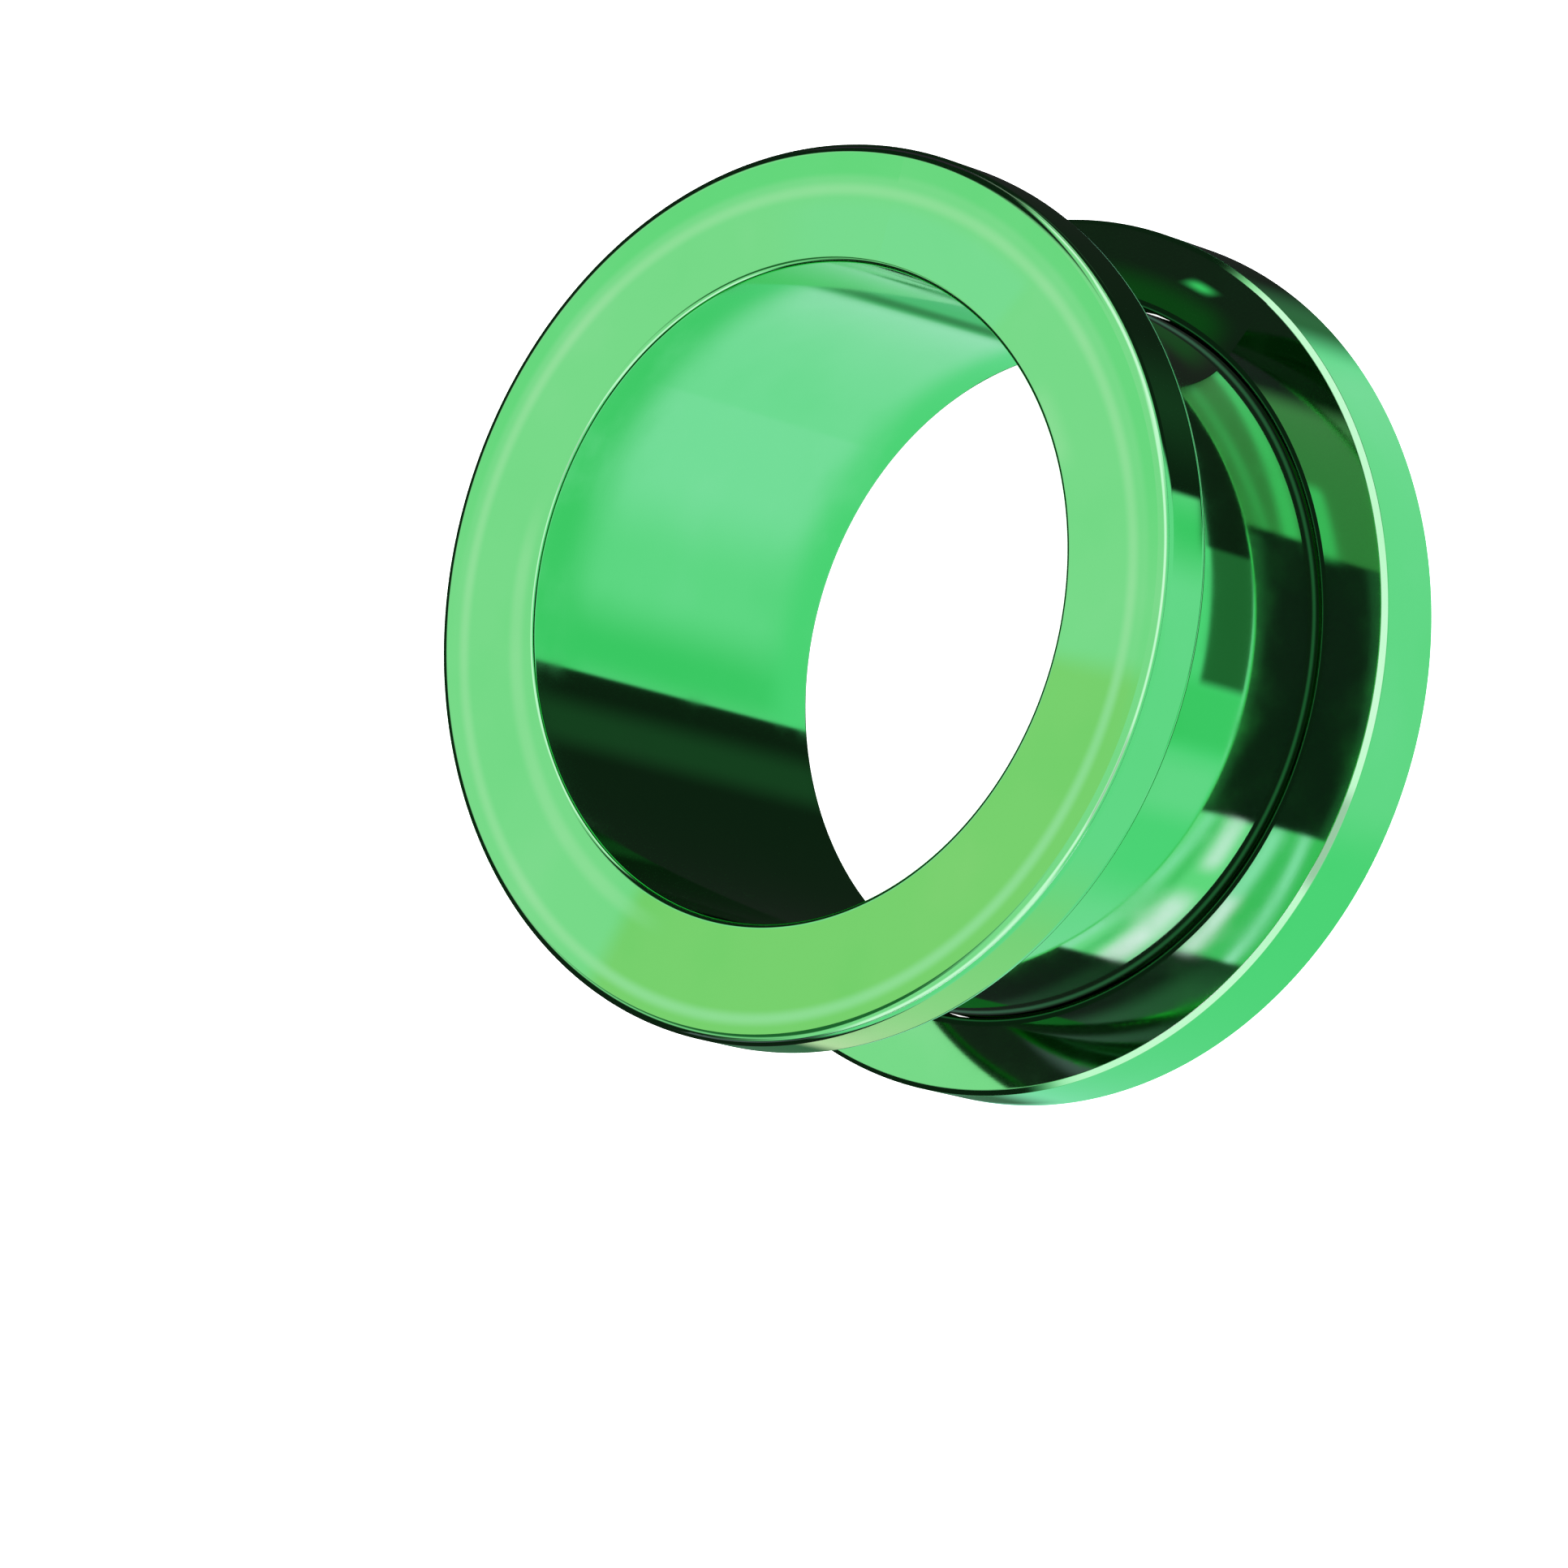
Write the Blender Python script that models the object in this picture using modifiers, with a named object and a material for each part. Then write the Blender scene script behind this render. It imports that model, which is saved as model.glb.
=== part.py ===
"""A screw-fit ear tunnel: a flanged barrel and the threaded ring that screws onto its free end.

Run with: blender --background --python part.py
Units are metres and +Z is up. The tunnel lies on the ring's outer face, with its axis along Z, and the
origin is the centre of that face.
"""
import math

import bmesh
import bpy

MM = 0.001

# Driving dimensions
GAUGE_RADIUS = 10.0 * MM
BORE_RADIUS = 8.95 * MM
FLANGE_RADIUS = 12.2 * MM
WEARABLE_LENGTH = 8.1 * MM
FLANGE_THICKNESS = 2.0 * MM
RING_THICKNESS = 2.35 * MM

# Thread, the same form on the barrel and in the ring
THREAD_PITCH = 0.5 * MM
THREAD_DEPTH = 0.22 * MM
THREAD_CLEARANCE = 0.1 * MM
THREAD_MARGIN = 0.25 * MM
THREAD_RUNOUT_SHARE = 0.15
CUTTER_OVERREACH = 0.03 * MM

# Edges and small forms
END_RECESS = 0.1 * MM
END_CHAMFER = 0.1 * MM
LIP_RADIUS = 0.12 * MM
RIM_ROUND = 0.3 * MM
FILLET_RADIUS = 0.6 * MM
RING_CHAMFER = 0.14 * MM
MOUTH_CHAMFER = 0.1 * MM

# Fineness of the faceted solids
SEGMENTS = 64
ROUND_STEPS = 3
SMOOTH_ANGLE = math.radians(30)

# Heights worked out from the sizes above
TOTAL_LENGTH = RING_THICKNESS + WEARABLE_LENGTH + FLANGE_THICKNESS
FLANGE_UNDERSIDE = RING_THICKNESS + WEARABLE_LENGTH
RING_BORE_RADIUS = GAUGE_RADIUS + THREAD_CLEARANCE

# Finish: green anodised polish, a little paler on the ring
BARREL_GREEN = (0.17, 0.70, 0.22, 1.0)
RING_GREEN = (0.20, 0.74, 0.28, 1.0)
POLISH_ROUGHNESS = 0.08
METAL = 1.0


def clear_scene():
    """Remove whatever the scene starts with."""
    for obj in list(bpy.data.objects):
        bpy.data.objects.remove(obj, do_unlink=True)


def new_collection(name):
    """Add an empty collection to the scene."""
    collection = bpy.data.collections.new(name)
    bpy.context.scene.collection.children.link(collection)
    return collection


def anodised_metal(name, colour):
    """Make a polished metal with an anodised tint."""
    material = bpy.data.materials.new(name)
    material.use_nodes = True
    shader = material.node_tree.nodes["Principled BSDF"]
    shader.inputs["Base Color"].default_value = colour
    shader.inputs["Metallic"].default_value = METAL
    shader.inputs["Roughness"].default_value = POLISH_ROUGHNESS
    material.diffuse_color = colour
    return material


def arc(centre_r, centre_z, radius, start_deg, end_deg):
    """Points on an arc of the profile, both ends included; 0 degrees points away from the axis."""
    points = []
    for step in range(ROUND_STEPS + 1):
        angle = math.radians(start_deg + (end_deg - start_deg) * step / ROUND_STEPS)
        points.append((centre_r + radius * math.cos(angle), centre_z + radius * math.sin(angle)))
    return points


def barrel_profile():
    """The barrel and its flange in section: lip, flat face, rim, fillet, wall, threaded end and bore."""
    lip = arc(BORE_RADIUS + LIP_RADIUS, TOTAL_LENGTH - LIP_RADIUS, LIP_RADIUS, 180, 90)
    rim = arc(FLANGE_RADIUS - RIM_ROUND, TOTAL_LENGTH - RIM_ROUND, RIM_ROUND, 90, 0)
    rim_back = arc(FLANGE_RADIUS - RIM_ROUND, FLANGE_UNDERSIDE + RIM_ROUND, RIM_ROUND, 0, -90)
    fillet = arc(GAUGE_RADIUS + FILLET_RADIUS, FLANGE_UNDERSIDE - FILLET_RADIUS, FILLET_RADIUS, 90, 180)
    free_end = [
        (GAUGE_RADIUS, END_RECESS + END_CHAMFER),
        (GAUGE_RADIUS - END_CHAMFER, END_RECESS),
        (BORE_RADIUS + END_CHAMFER, END_RECESS),
        (BORE_RADIUS, END_RECESS + END_CHAMFER),
    ]
    return lip + rim + rim_back + fillet + free_end


def ring_profile():
    """The ring in section: inner face, rim, outer face and bore, with every edge chamfered."""
    return [
        (RING_BORE_RADIUS + MOUTH_CHAMFER, RING_THICKNESS),
        (FLANGE_RADIUS - RING_CHAMFER, RING_THICKNESS),
        (FLANGE_RADIUS, RING_THICKNESS - RING_CHAMFER),
        (FLANGE_RADIUS, RING_CHAMFER),
        (FLANGE_RADIUS - RING_CHAMFER, 0.0),
        (RING_BORE_RADIUS + MOUTH_CHAMFER, 0.0),
        (RING_BORE_RADIUS, MOUTH_CHAMFER),
        (RING_BORE_RADIUS, RING_THICKNESS - MOUTH_CHAMFER),
    ]


def turned(name, profile, collection):
    """Turn a closed profile of (radius, height) points about the Z axis."""
    shape = bmesh.new()
    corners = [shape.verts.new((radius, 0.0, height)) for radius, height in profile]
    for start, end in zip(corners, corners[1:] + corners[:1]):
        shape.edges.new((start, end))
    mesh = bpy.data.meshes.new(name)
    shape.to_mesh(mesh)
    shape.free()
    obj = bpy.data.objects.new(name, mesh)
    collection.objects.link(obj)
    screw = obj.modifiers.new("Turn", "SCREW")
    screw.axis = "Z"
    screw.steps = SEGMENTS
    screw.render_steps = SEGMENTS
    screw.use_smooth_shade = True
    screw.use_merge_vertices = False
    return obj


def evaluated_mesh(obj):
    """The mesh that an object has once its modifiers or its bevel are worked out."""
    bpy.context.view_layer.update()
    return bpy.data.meshes.new_from_object(obj.evaluated_get(bpy.context.evaluated_depsgraph_get()))


def helix(radius, low, high, sink):
    """Points on a helix from low to high, whose ends move out of the wall by sink to fade the groove."""
    steps = round((high - low) / THREAD_PITCH * SEGMENTS)
    runout = THREAD_RUNOUT_SHARE * SEGMENTS
    points = []
    for step in range(steps + 1):
        turn = 2 * math.pi * step / SEGMENTS
        fade = max(0.0, 1.0 - min(step, steps - step) / runout)
        reach = radius + sink * fade
        points.append((reach * math.cos(turn), reach * math.sin(turn), low + THREAD_PITCH * step / SEGMENTS))
    return points


def thread_cutter(name, wall_radius, outward, low, high, collection):
    """A helical bar of diamond section along a wall; outward is -1 to cut inwards from it, 1 outwards."""
    centre = wall_radius - outward * CUTTER_OVERREACH
    sink = -outward * (THREAD_DEPTH + 2 * CUTTER_OVERREACH)
    points = helix(centre, low, high, sink)
    curve = bpy.data.curves.new(name, "CURVE")
    curve.dimensions = "3D"
    curve.twist_mode = "Z_UP"
    curve.bevel_depth = THREAD_DEPTH + CUTTER_OVERREACH
    curve.bevel_resolution = 0
    curve.use_fill_caps = True
    spline = curve.splines.new("POLY")
    spline.points.add(len(points) - 1)
    for target, point in zip(spline.points, points):
        target.co = (*point, 1.0)
    guide = bpy.data.objects.new(name + "_path", curve)
    collection.objects.link(guide)
    mesh = evaluated_mesh(guide)
    bpy.data.objects.remove(guide, do_unlink=True)
    shape = bmesh.new()
    shape.from_mesh(mesh)
    bmesh.ops.remove_doubles(shape, verts=shape.verts, dist=CUTTER_OVERREACH / 10)
    bmesh.ops.recalc_face_normals(shape, faces=shape.faces)
    shape.to_mesh(mesh)
    shape.free()
    cutter = bpy.data.objects.new(name, mesh)
    cutter.hide_render = True
    cutter.display_type = "WIRE"
    collection.objects.link(cutter)
    return cutter


def cut(obj, cutter):
    """Take the cutter's shape out of the object."""
    boolean = obj.modifiers.new("Thread", "BOOLEAN")
    boolean.operation = "DIFFERENCE"
    boolean.solver = "EXACT"
    boolean.object = cutter


def finish(obj, material):
    """Settle the modifiers into a plain mesh, smooth but for its edges, and give it its metal."""
    mesh = evaluated_mesh(obj)
    obj.modifiers.clear()
    obj.data = mesh
    mesh.shade_smooth()
    mesh.set_sharp_from_angle(angle=SMOOTH_ANGLE)
    mesh.materials.clear()
    mesh.materials.append(material)


def build_flanged_barrel(parts, cutters):
    """The tube that lines the ear, with its fixed flange and the thread on its free end."""
    barrel = turned("flanged_barrel", barrel_profile(), parts)
    # Half a pitch out of step with the ring's groove, so that each ridge faces a groove
    low = THREAD_MARGIN + THREAD_PITCH / 2
    high = RING_THICKNESS - THREAD_MARGIN
    cut(barrel, thread_cutter("barrel_thread", GAUGE_RADIUS, -1, low, high, cutters))
    finish(barrel, anodised_metal("barrel_anodised_green", BARREL_GREEN))


def build_screw_ring(parts, cutters):
    """The removable flange: a flat ring with the thread cut in its bore."""
    ring = turned("screw_ring", ring_profile(), parts)
    low = THREAD_MARGIN
    high = RING_THICKNESS - THREAD_MARGIN
    cut(ring, thread_cutter("ring_thread", RING_BORE_RADIUS, 1, low, high, cutters))
    finish(ring, anodised_metal("ring_anodised_green", RING_GREEN))


def main():
    """Build the tunnel's two pieces."""
    clear_scene()
    parts = new_collection("ear_tunnel")
    cutters = new_collection("ear_tunnel_cutters")
    build_flanged_barrel(parts, cutters)
    build_screw_ring(parts, cutters)


main()
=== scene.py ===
"""Looks of a screw-fit ear tunnel in green anodised steel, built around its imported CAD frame.

The tunnel lies on its screw ring with the bore upright. Both pieces are turned again here from their
section outlines, with true rounds and a fine pitch, and stand for the faceted CAD solids. All lengths
are metres.
"""
from __future__ import annotations

import logging
import math
from dataclasses import dataclass
from enum import Enum
from typing import Any

import bmesh
import bpy
import numpy as np
from mathutils import Matrix, Vector


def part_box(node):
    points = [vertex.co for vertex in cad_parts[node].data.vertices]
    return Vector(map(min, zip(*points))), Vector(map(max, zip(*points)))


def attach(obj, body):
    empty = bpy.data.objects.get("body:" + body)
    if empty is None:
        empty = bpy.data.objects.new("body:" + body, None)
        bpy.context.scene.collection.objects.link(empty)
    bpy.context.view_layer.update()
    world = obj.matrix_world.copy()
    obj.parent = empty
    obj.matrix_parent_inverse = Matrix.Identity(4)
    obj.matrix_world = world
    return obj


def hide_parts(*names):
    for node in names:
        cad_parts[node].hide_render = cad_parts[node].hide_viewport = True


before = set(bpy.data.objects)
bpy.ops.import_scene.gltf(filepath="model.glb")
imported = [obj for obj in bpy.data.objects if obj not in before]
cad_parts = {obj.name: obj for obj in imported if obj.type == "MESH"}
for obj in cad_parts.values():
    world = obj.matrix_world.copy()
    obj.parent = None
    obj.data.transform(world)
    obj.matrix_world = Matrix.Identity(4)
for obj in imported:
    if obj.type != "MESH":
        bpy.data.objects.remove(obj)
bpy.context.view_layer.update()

MM = 0.001
LOG = logging.getLogger("ear_tunnel")

Socket = bpy.types.NodeSocket
Colour = tuple[float, float, float]


@dataclass(frozen=True)
class NodeSheet:
    """Adds nodes to one node tree and joins their sockets.

    Attributes:
        tree: The shader or geometry tree that the nodes go in.
    """

    tree: bpy.types.NodeTree

    def add(self, kind: str, inputs: dict[str | int, Any] | None = None,
            **settings: Any) -> bpy.types.Node:
        """Add a node, set its own properties and feed its inputs.

        Args:
            kind: The node's type, such as ShaderNodeMath.
            inputs: Input name or index to a plain value, or to the socket that feeds it.
            **settings: Properties of the node itself.

        Returns:
            The new node.
        """
        node = self.tree.nodes.new(kind)
        for name, value in settings.items():
            setattr(node, name, value)
        self.feed(node, inputs or {})
        return node

    def feed(self, node: bpy.types.Node, inputs: dict[str | int, Any]) -> None:
        """Feed a node's inputs.

        Args:
            node: The node.
            inputs: Input name or index to a plain value, or to the socket that feeds it.
        """
        for key, value in inputs.items():
            if isinstance(value, Socket):
                self.tree.links.new(value, node.inputs[key])
            else:
                node.inputs[key].default_value = value

    def math(self, operation: str, *values: float | Socket) -> Socket:
        """Work out one number.

        Args:
            operation: The Math node's operation.
            *values: Its operands, plain numbers or sockets.

        Returns:
            The result's socket.
        """
        return self.add("ShaderNodeMath", dict(enumerate(values)), operation=operation).outputs[0]

    def ramp(self, value: Socket, low: float | Socket, high: float | Socket, start: float = 0.0,
             end: float = 1.0, shape: str = "SMOOTHSTEP") -> Socket:
        """Turn one range of a number into another, and hold it beyond the ends.

        Args:
            value: The number.
            low: Where the change starts.
            high: Where the change ends.
            start: The result at low.
            end: The result at high.
            shape: The Map Range node's interpolation.

        Returns:
            The result's socket.
        """
        ends = {"Value": value, "From Min": low, "From Max": high, "To Min": start, "To Max": end}
        return self.add("ShaderNodeMapRange", ends, interpolation_type=shape).outputs["Result"]

    def mix(self, share: float | Socket, first: Any, second: Any) -> Socket:
        """Mix two colours.

        Args:
            share: How much of the second shows.
            first: The colour at 0, with its alpha, or its socket.
            second: The colour at 1, likewise.

        Returns:
            The mixed colour's socket.
        """
        node = self.add("ShaderNodeMix", {"Factor": share}, data_type="RGBA")
        slots = [i for i, socket in enumerate(node.inputs) if socket.type == "RGBA"]
        self.feed(node, dict(zip(slots, (first, second))))
        return next(socket for socket in node.outputs if socket.type == "RGBA")


def opaque(colour: Colour) -> tuple[float, float, float, float]:
    """Give a colour its alpha of 1."""
    return (*colour, 1.0)


def add_object(name: str, data: bpy.types.ID) -> bpy.types.Object:
    """Put a new object in the scene."""
    thing = bpy.data.objects.new(name, data)
    bpy.context.scene.collection.objects.link(thing)
    return thing


def group_tree(name: str, kind: str, inputs: dict[str, str], outputs: dict[str, str]
               ) -> tuple[NodeSheet, bpy.types.NodeOutputs, bpy.types.Node]:
    """Start a node group with named sockets.

    Args:
        name: The group's name.
        kind: Shader or Geometry.
        inputs: Input name to its socket's type, such as Float.
        outputs: Output name to its socket's type.

    Returns:
        The group's sheet, the sockets that give its inputs, and its output node.
    """
    tree = bpy.data.node_groups.new(name, kind + "NodeTree")
    for way, sockets in (("INPUT", inputs), ("OUTPUT", outputs)):
        for label, socket_type in sockets.items():
            tree.interface.new_socket(label, in_out=way, socket_type="NodeSocket" + socket_type)
    given = tree.nodes.new("NodeGroupInput").outputs
    return NodeSheet(tree), given, tree.nodes.new("NodeGroupOutput")


@dataclass(frozen=True)
class Corner:
    """One corner of a section outline.

    Attributes:
        radius: Distance from the tunnel's axis.
        height: Height above the floor.
        rounding: Radius of the arc that rounds it off, or 0 for a plain point of a curve.
        spacing: Longest step along the straight run that follows.
    """

    radius: float
    height: float
    rounding: float = 0.0
    spacing: float = 1.0 * MM


class Outline:
    """A closed section outline whose corners are rounded off with true arcs."""

    ROUND_STEPS = 10
    GUARD = 0.012 * MM

    def __init__(self, corners: list[Corner]) -> None:
        """Work the outline out.

        Args:
            corners: Its corners in order, down the outer side and up the bore.
        """
        arcs = [self._arc(corners[i - 1], corner, corners[(i + 1) % len(corners)])
                for i, corner in enumerate(corners)]
        self.points: list[Vector] = []
        for i, corner in enumerate(corners):
            self.points += arcs[i]
            following = corners[(i + 1) % len(corners)]
            if corner.rounding or following.rounding:
                self.points += self._run(arcs[i][-1], arcs[(i + 1) % len(corners)][0], corner.spacing)

    def _arc(self, before: Corner, corner: Corner, after: Corner) -> list[Vector]:
        """Find points of the arc that touches a corner's two sides, or the corner if it is plain."""
        here = Vector((corner.radius, corner.height))
        if not corner.rounding:
            return [here]
        back = (Vector((before.radius, before.height)) - here).normalized()
        ahead = (Vector((after.radius, after.height)) - here).normalized()
        half = back.angle(ahead) / 2
        centre = here + (back + ahead).normalized() * (corner.rounding / math.sin(half))
        touch = corner.rounding / math.tan(half)
        first = here + back * touch - centre
        last = here + ahead * touch - centre
        turn = math.atan2(first.x * last.y - first.y * last.x, first.dot(last))
        return [centre + Matrix.Rotation(turn * step / self.ROUND_STEPS, 2) @ first
                for step in range(self.ROUND_STEPS + 1)]

    def _run(self, start: Vector, end: Vector, spacing: float) -> list[Vector]:
        """Find points inside a straight run, with one close to each end so that flats stay flat."""
        length = (end - start).length
        if length < 3 * self.GUARD:
            return []
        steps = max(1, math.ceil((length - 2 * self.GUARD) / spacing))
        reach = [self.GUARD + (length - 2 * self.GUARD) * step / steps for step in range(steps + 1)]
        return [start.lerp(end, distance / length) for distance in reach]

    def mesh(self, name: str) -> bpy.types.Mesh:
        """Make a mesh of the outline's edges, in the XZ plane.

        Args:
            name: The mesh's name.

        Returns:
            The mesh.
        """
        mesh = bpy.data.meshes.new(name)
        count = len(self.points)
        mesh.from_pydata([(point.x, 0.0, point.y) for point in self.points],
                         [(i, (i + 1) % count) for i in range(count)], [])
        return mesh


class Lathe:
    """Turns outlines into solids and cuts threads in them, with Geometry Nodes."""

    SEGMENTS = 288

    def __init__(self) -> None:
        """Build the two trees once, for both pieces."""
        self.turning = self._turning_tree()
        self.threading = self._threading_tree()

    def _turning_tree(self) -> bpy.types.NodeTree:
        """Sweep an outline in the XZ plane round a circle on the Z axis."""
        sheet, given, result = group_tree(
            "Turn round the axis", "Geometry",
            {"Geometry": "Geometry", "Rail Radius": "Float", "Segments": "Int", "Material": "Material"},
            {"Geometry": "Geometry"})
        position = sheet.add("GeometryNodeInputPosition").outputs[0]
        place = sheet.add("ShaderNodeSeparateXYZ", {0: position})
        # A swept profile's X runs away from the axis here and its Y down along it
        flat = sheet.add("ShaderNodeCombineXYZ", {
            "X": sheet.math("SUBTRACT", place.outputs["X"], given["Rail Radius"]),
            "Y": sheet.math("MULTIPLY", place.outputs["Z"], -1.0)})
        laid = sheet.add("GeometryNodeSetPosition", {
            "Geometry": given["Geometry"], "Position": flat.outputs[0]})
        profile = sheet.add("GeometryNodeMeshToCurve", {0: laid.outputs[0]})
        rail = sheet.add("GeometryNodeCurvePrimitiveCircle", {
            "Resolution": given["Segments"], "Radius": given["Rail Radius"]})
        level = sheet.add("GeometryNodeSetCurveNormal", {"Curve": rail.outputs[0]}, mode="Z_UP")
        swept = sheet.add("GeometryNodeCurveToMesh", {
            "Curve": level.outputs[0], "Profile Curve": profile.outputs[0]})
        self._finish_tree(sheet, swept, given["Material"], result)
        return sheet.tree

    def _threading_tree(self) -> bpy.types.NodeTree:
        """Sink a helical groove of V section into a wall that faces in or out."""
        sizes = ("Wall Radius", "Wall Reach", "Depth", "Pitch", "Groove Share", "Low", "High")
        sheet, size, result = group_tree(
            "Cut a thread", "Geometry",
            {"Geometry": "Geometry", **dict.fromkeys(sizes, "Float"), "Material": "Material"},
            {"Geometry": "Geometry"})
        position = sheet.add("GeometryNodeInputPosition").outputs[0]
        place = sheet.add("ShaderNodeSeparateXYZ", {0: position})
        outward = sheet.add("ShaderNodeCombineXYZ", {
            "X": place.outputs["X"], "Y": place.outputs["Y"]}).outputs[0]
        radius = sheet.add("ShaderNodeVectorMath", {0: outward}, operation="LENGTH").outputs["Value"]
        angle = sheet.math("ARCTAN2", place.outputs["Y"], place.outputs["X"])
        height = place.outputs["Z"]
        climb = sheet.math("DIVIDE", sheet.math("SUBTRACT", height, size["Low"]), size["Pitch"])
        turn = sheet.math("SUBTRACT", climb, sheet.math("DIVIDE", angle, 2 * math.pi))
        off_middle = sheet.math("PINGPONG", turn, 0.5)
        groove = sheet.ramp(off_middle, 0.0, size["Groove Share"], 1.0, 0.0, "LINEAR")
        fade = sheet.math("MULTIPLY", size["Pitch"], 0.5)
        starts = sheet.ramp(height, sheet.math("SUBTRACT", size["Low"], fade), size["Low"])
        ends = sheet.ramp(height, size["High"], sheet.math("ADD", size["High"], fade), 1.0, 0.0)
        on_wall = sheet.math("COMPARE", radius, size["Wall Radius"], size["Wall Reach"])
        share = sheet.math("MULTIPLY", sheet.math("MULTIPLY", groove, on_wall),
                           sheet.math("MULTIPLY", starts, ends))
        direction = sheet.add("ShaderNodeVectorMath", {0: outward}, operation="NORMALIZE").outputs[0]
        shift = sheet.add("ShaderNodeVectorMath", {
            0: direction, "Scale": sheet.math("MULTIPLY", share, size["Depth"])}, operation="SCALE")
        cut = sheet.add("GeometryNodeSetPosition", {
            "Geometry": size["Geometry"], "Offset": shift.outputs[0]})
        self._finish_tree(sheet, cut, size["Material"], result)
        return sheet.tree

    def _finish_tree(self, sheet: NodeSheet, shape: bpy.types.Node, metal: Socket,
                     result: bpy.types.Node) -> None:
        """Shade smooth, realize and set the metal, then hand the geometry out."""
        smooth = sheet.add("GeometryNodeSetShadeSmooth", {"Geometry": shape.outputs[0]})
        whole = sheet.add("GeometryNodeRealizeInstances", {"Geometry": smooth.outputs[0]})
        dressed = sheet.add("GeometryNodeSetMaterial", {"Geometry": whole.outputs[0], "Material": metal})
        sheet.feed(result, {"Geometry": dressed.outputs[0]})

    def turn(self, name: str, outline: Outline, rail_radius: float, metal: bpy.types.Material,
             thread: dict[str, float]) -> bpy.types.Object:
        """Turn a piece, cut its thread and settle it into a plain mesh.

        Args:
            name: The piece's name.
            outline: Its section.
            rail_radius: Radius of the circle that the outline is swept round.
            metal: Its material.
            thread: The threading tree's sizes by name.

        Returns:
            The finished piece, at the origin and with its place in its mesh.
        """
        piece = add_object(name, outline.mesh(name + "_outline"))
        add_tree(piece, self.turning, {
            "Rail Radius": rail_radius, "Segments": self.SEGMENTS, "Material": metal})
        add_tree(piece, self.threading, {**thread, "Material": metal})
        bpy.context.view_layer.update()
        settled = piece.evaluated_get(bpy.context.evaluated_depsgraph_get())
        solid = bpy.data.meshes.new_from_object(settled)
        piece.modifiers.clear()
        shape = bmesh.new()
        shape.from_mesh(solid)
        bmesh.ops.recalc_face_normals(shape, faces=shape.faces)
        shape.to_mesh(solid)
        shape.free()
        solid.name = name
        piece.data = solid
        return piece


def add_tree(piece: bpy.types.Object, tree: bpy.types.NodeTree, values: dict[str, Any]) -> None:
    """Put a geometry tree on a piece and set its inputs by their sockets' identifiers.

    Args:
        piece: The piece.
        tree: The geometry tree.
        values: Input name to value.
    """
    modifier = piece.modifiers.new(tree.name, "NODES")
    modifier.node_group = tree
    sockets = tree.interface.items_tree
    identifiers = {item.name: item.identifier for item in sockets if item.in_out == "INPUT"}
    for label, value in values.items():
        modifier[identifiers[label]] = value


@dataclass(frozen=True)
class AnodisedSteel:
    """Mirror-polished steel under a green anodised film.

    Attributes:
        name: The material's name.
        tint: The film's colour where it is even.
        pale: Its colour where the film is thinnest.
        deep: Its colour where the film is thickest.
        bloom_scale: How many patches of uneven film lie along a metre.
        bloom: How much the film's unevenness shows, from 0 to 1.
        roughness: The polish, from 0 for a perfect mirror.
        haze: How much roughness handling adds at its worst.
        lathe_pitch: Distance between the faint rings that turning left.
        lathe_height: Depth of those rings.
    """

    name: str
    tint: Colour = (0.15, 0.72, 0.22)
    pale: Colour = (0.19, 0.73, 0.26)
    deep: Colour = (0.12, 0.70, 0.19)
    bloom_scale: float = 260.0
    bloom: float = 0.5
    roughness: float = 0.05
    haze: float = 0.05
    lathe_pitch: float = 0.06 * MM
    lathe_height: float = 0.00004 * MM

    def material(self, effects: SurfaceEffects) -> bpy.types.Material:
        """Make the material.

        Args:
            effects: The node groups that metals share.

        Returns:
            The material.
        """
        metal = bpy.data.materials.new(self.name)
        metal.use_nodes = True
        sheet = NodeSheet(metal.node_tree)
        film = sheet.add("ShaderNodeGroup", {
            "Tint": opaque(self.tint), "Pale": opaque(self.pale), "Deep": opaque(self.deep),
            "Scale": self.bloom_scale, "Amount": self.bloom}, node_tree=effects.film)
        handling = sheet.add("ShaderNodeGroup", {
            "Polish": self.roughness, "Haze": self.haze}, node_tree=effects.handling)
        rings = sheet.add("ShaderNodeGroup", {"Pitch": self.lathe_pitch}, node_tree=effects.lathe_rings)
        relief = sheet.add("ShaderNodeBump", {
            "Strength": 1.0, "Distance": self.lathe_height, "Height": rings.outputs["Height"]})
        sheet.feed(metal.node_tree.nodes["Principled BSDF"], {
            "Metallic": 1.0, "Base Color": film.outputs["Colour"],
            "Roughness": handling.outputs["Roughness"], "Normal": relief.outputs["Normal"]})
        return metal


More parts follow.
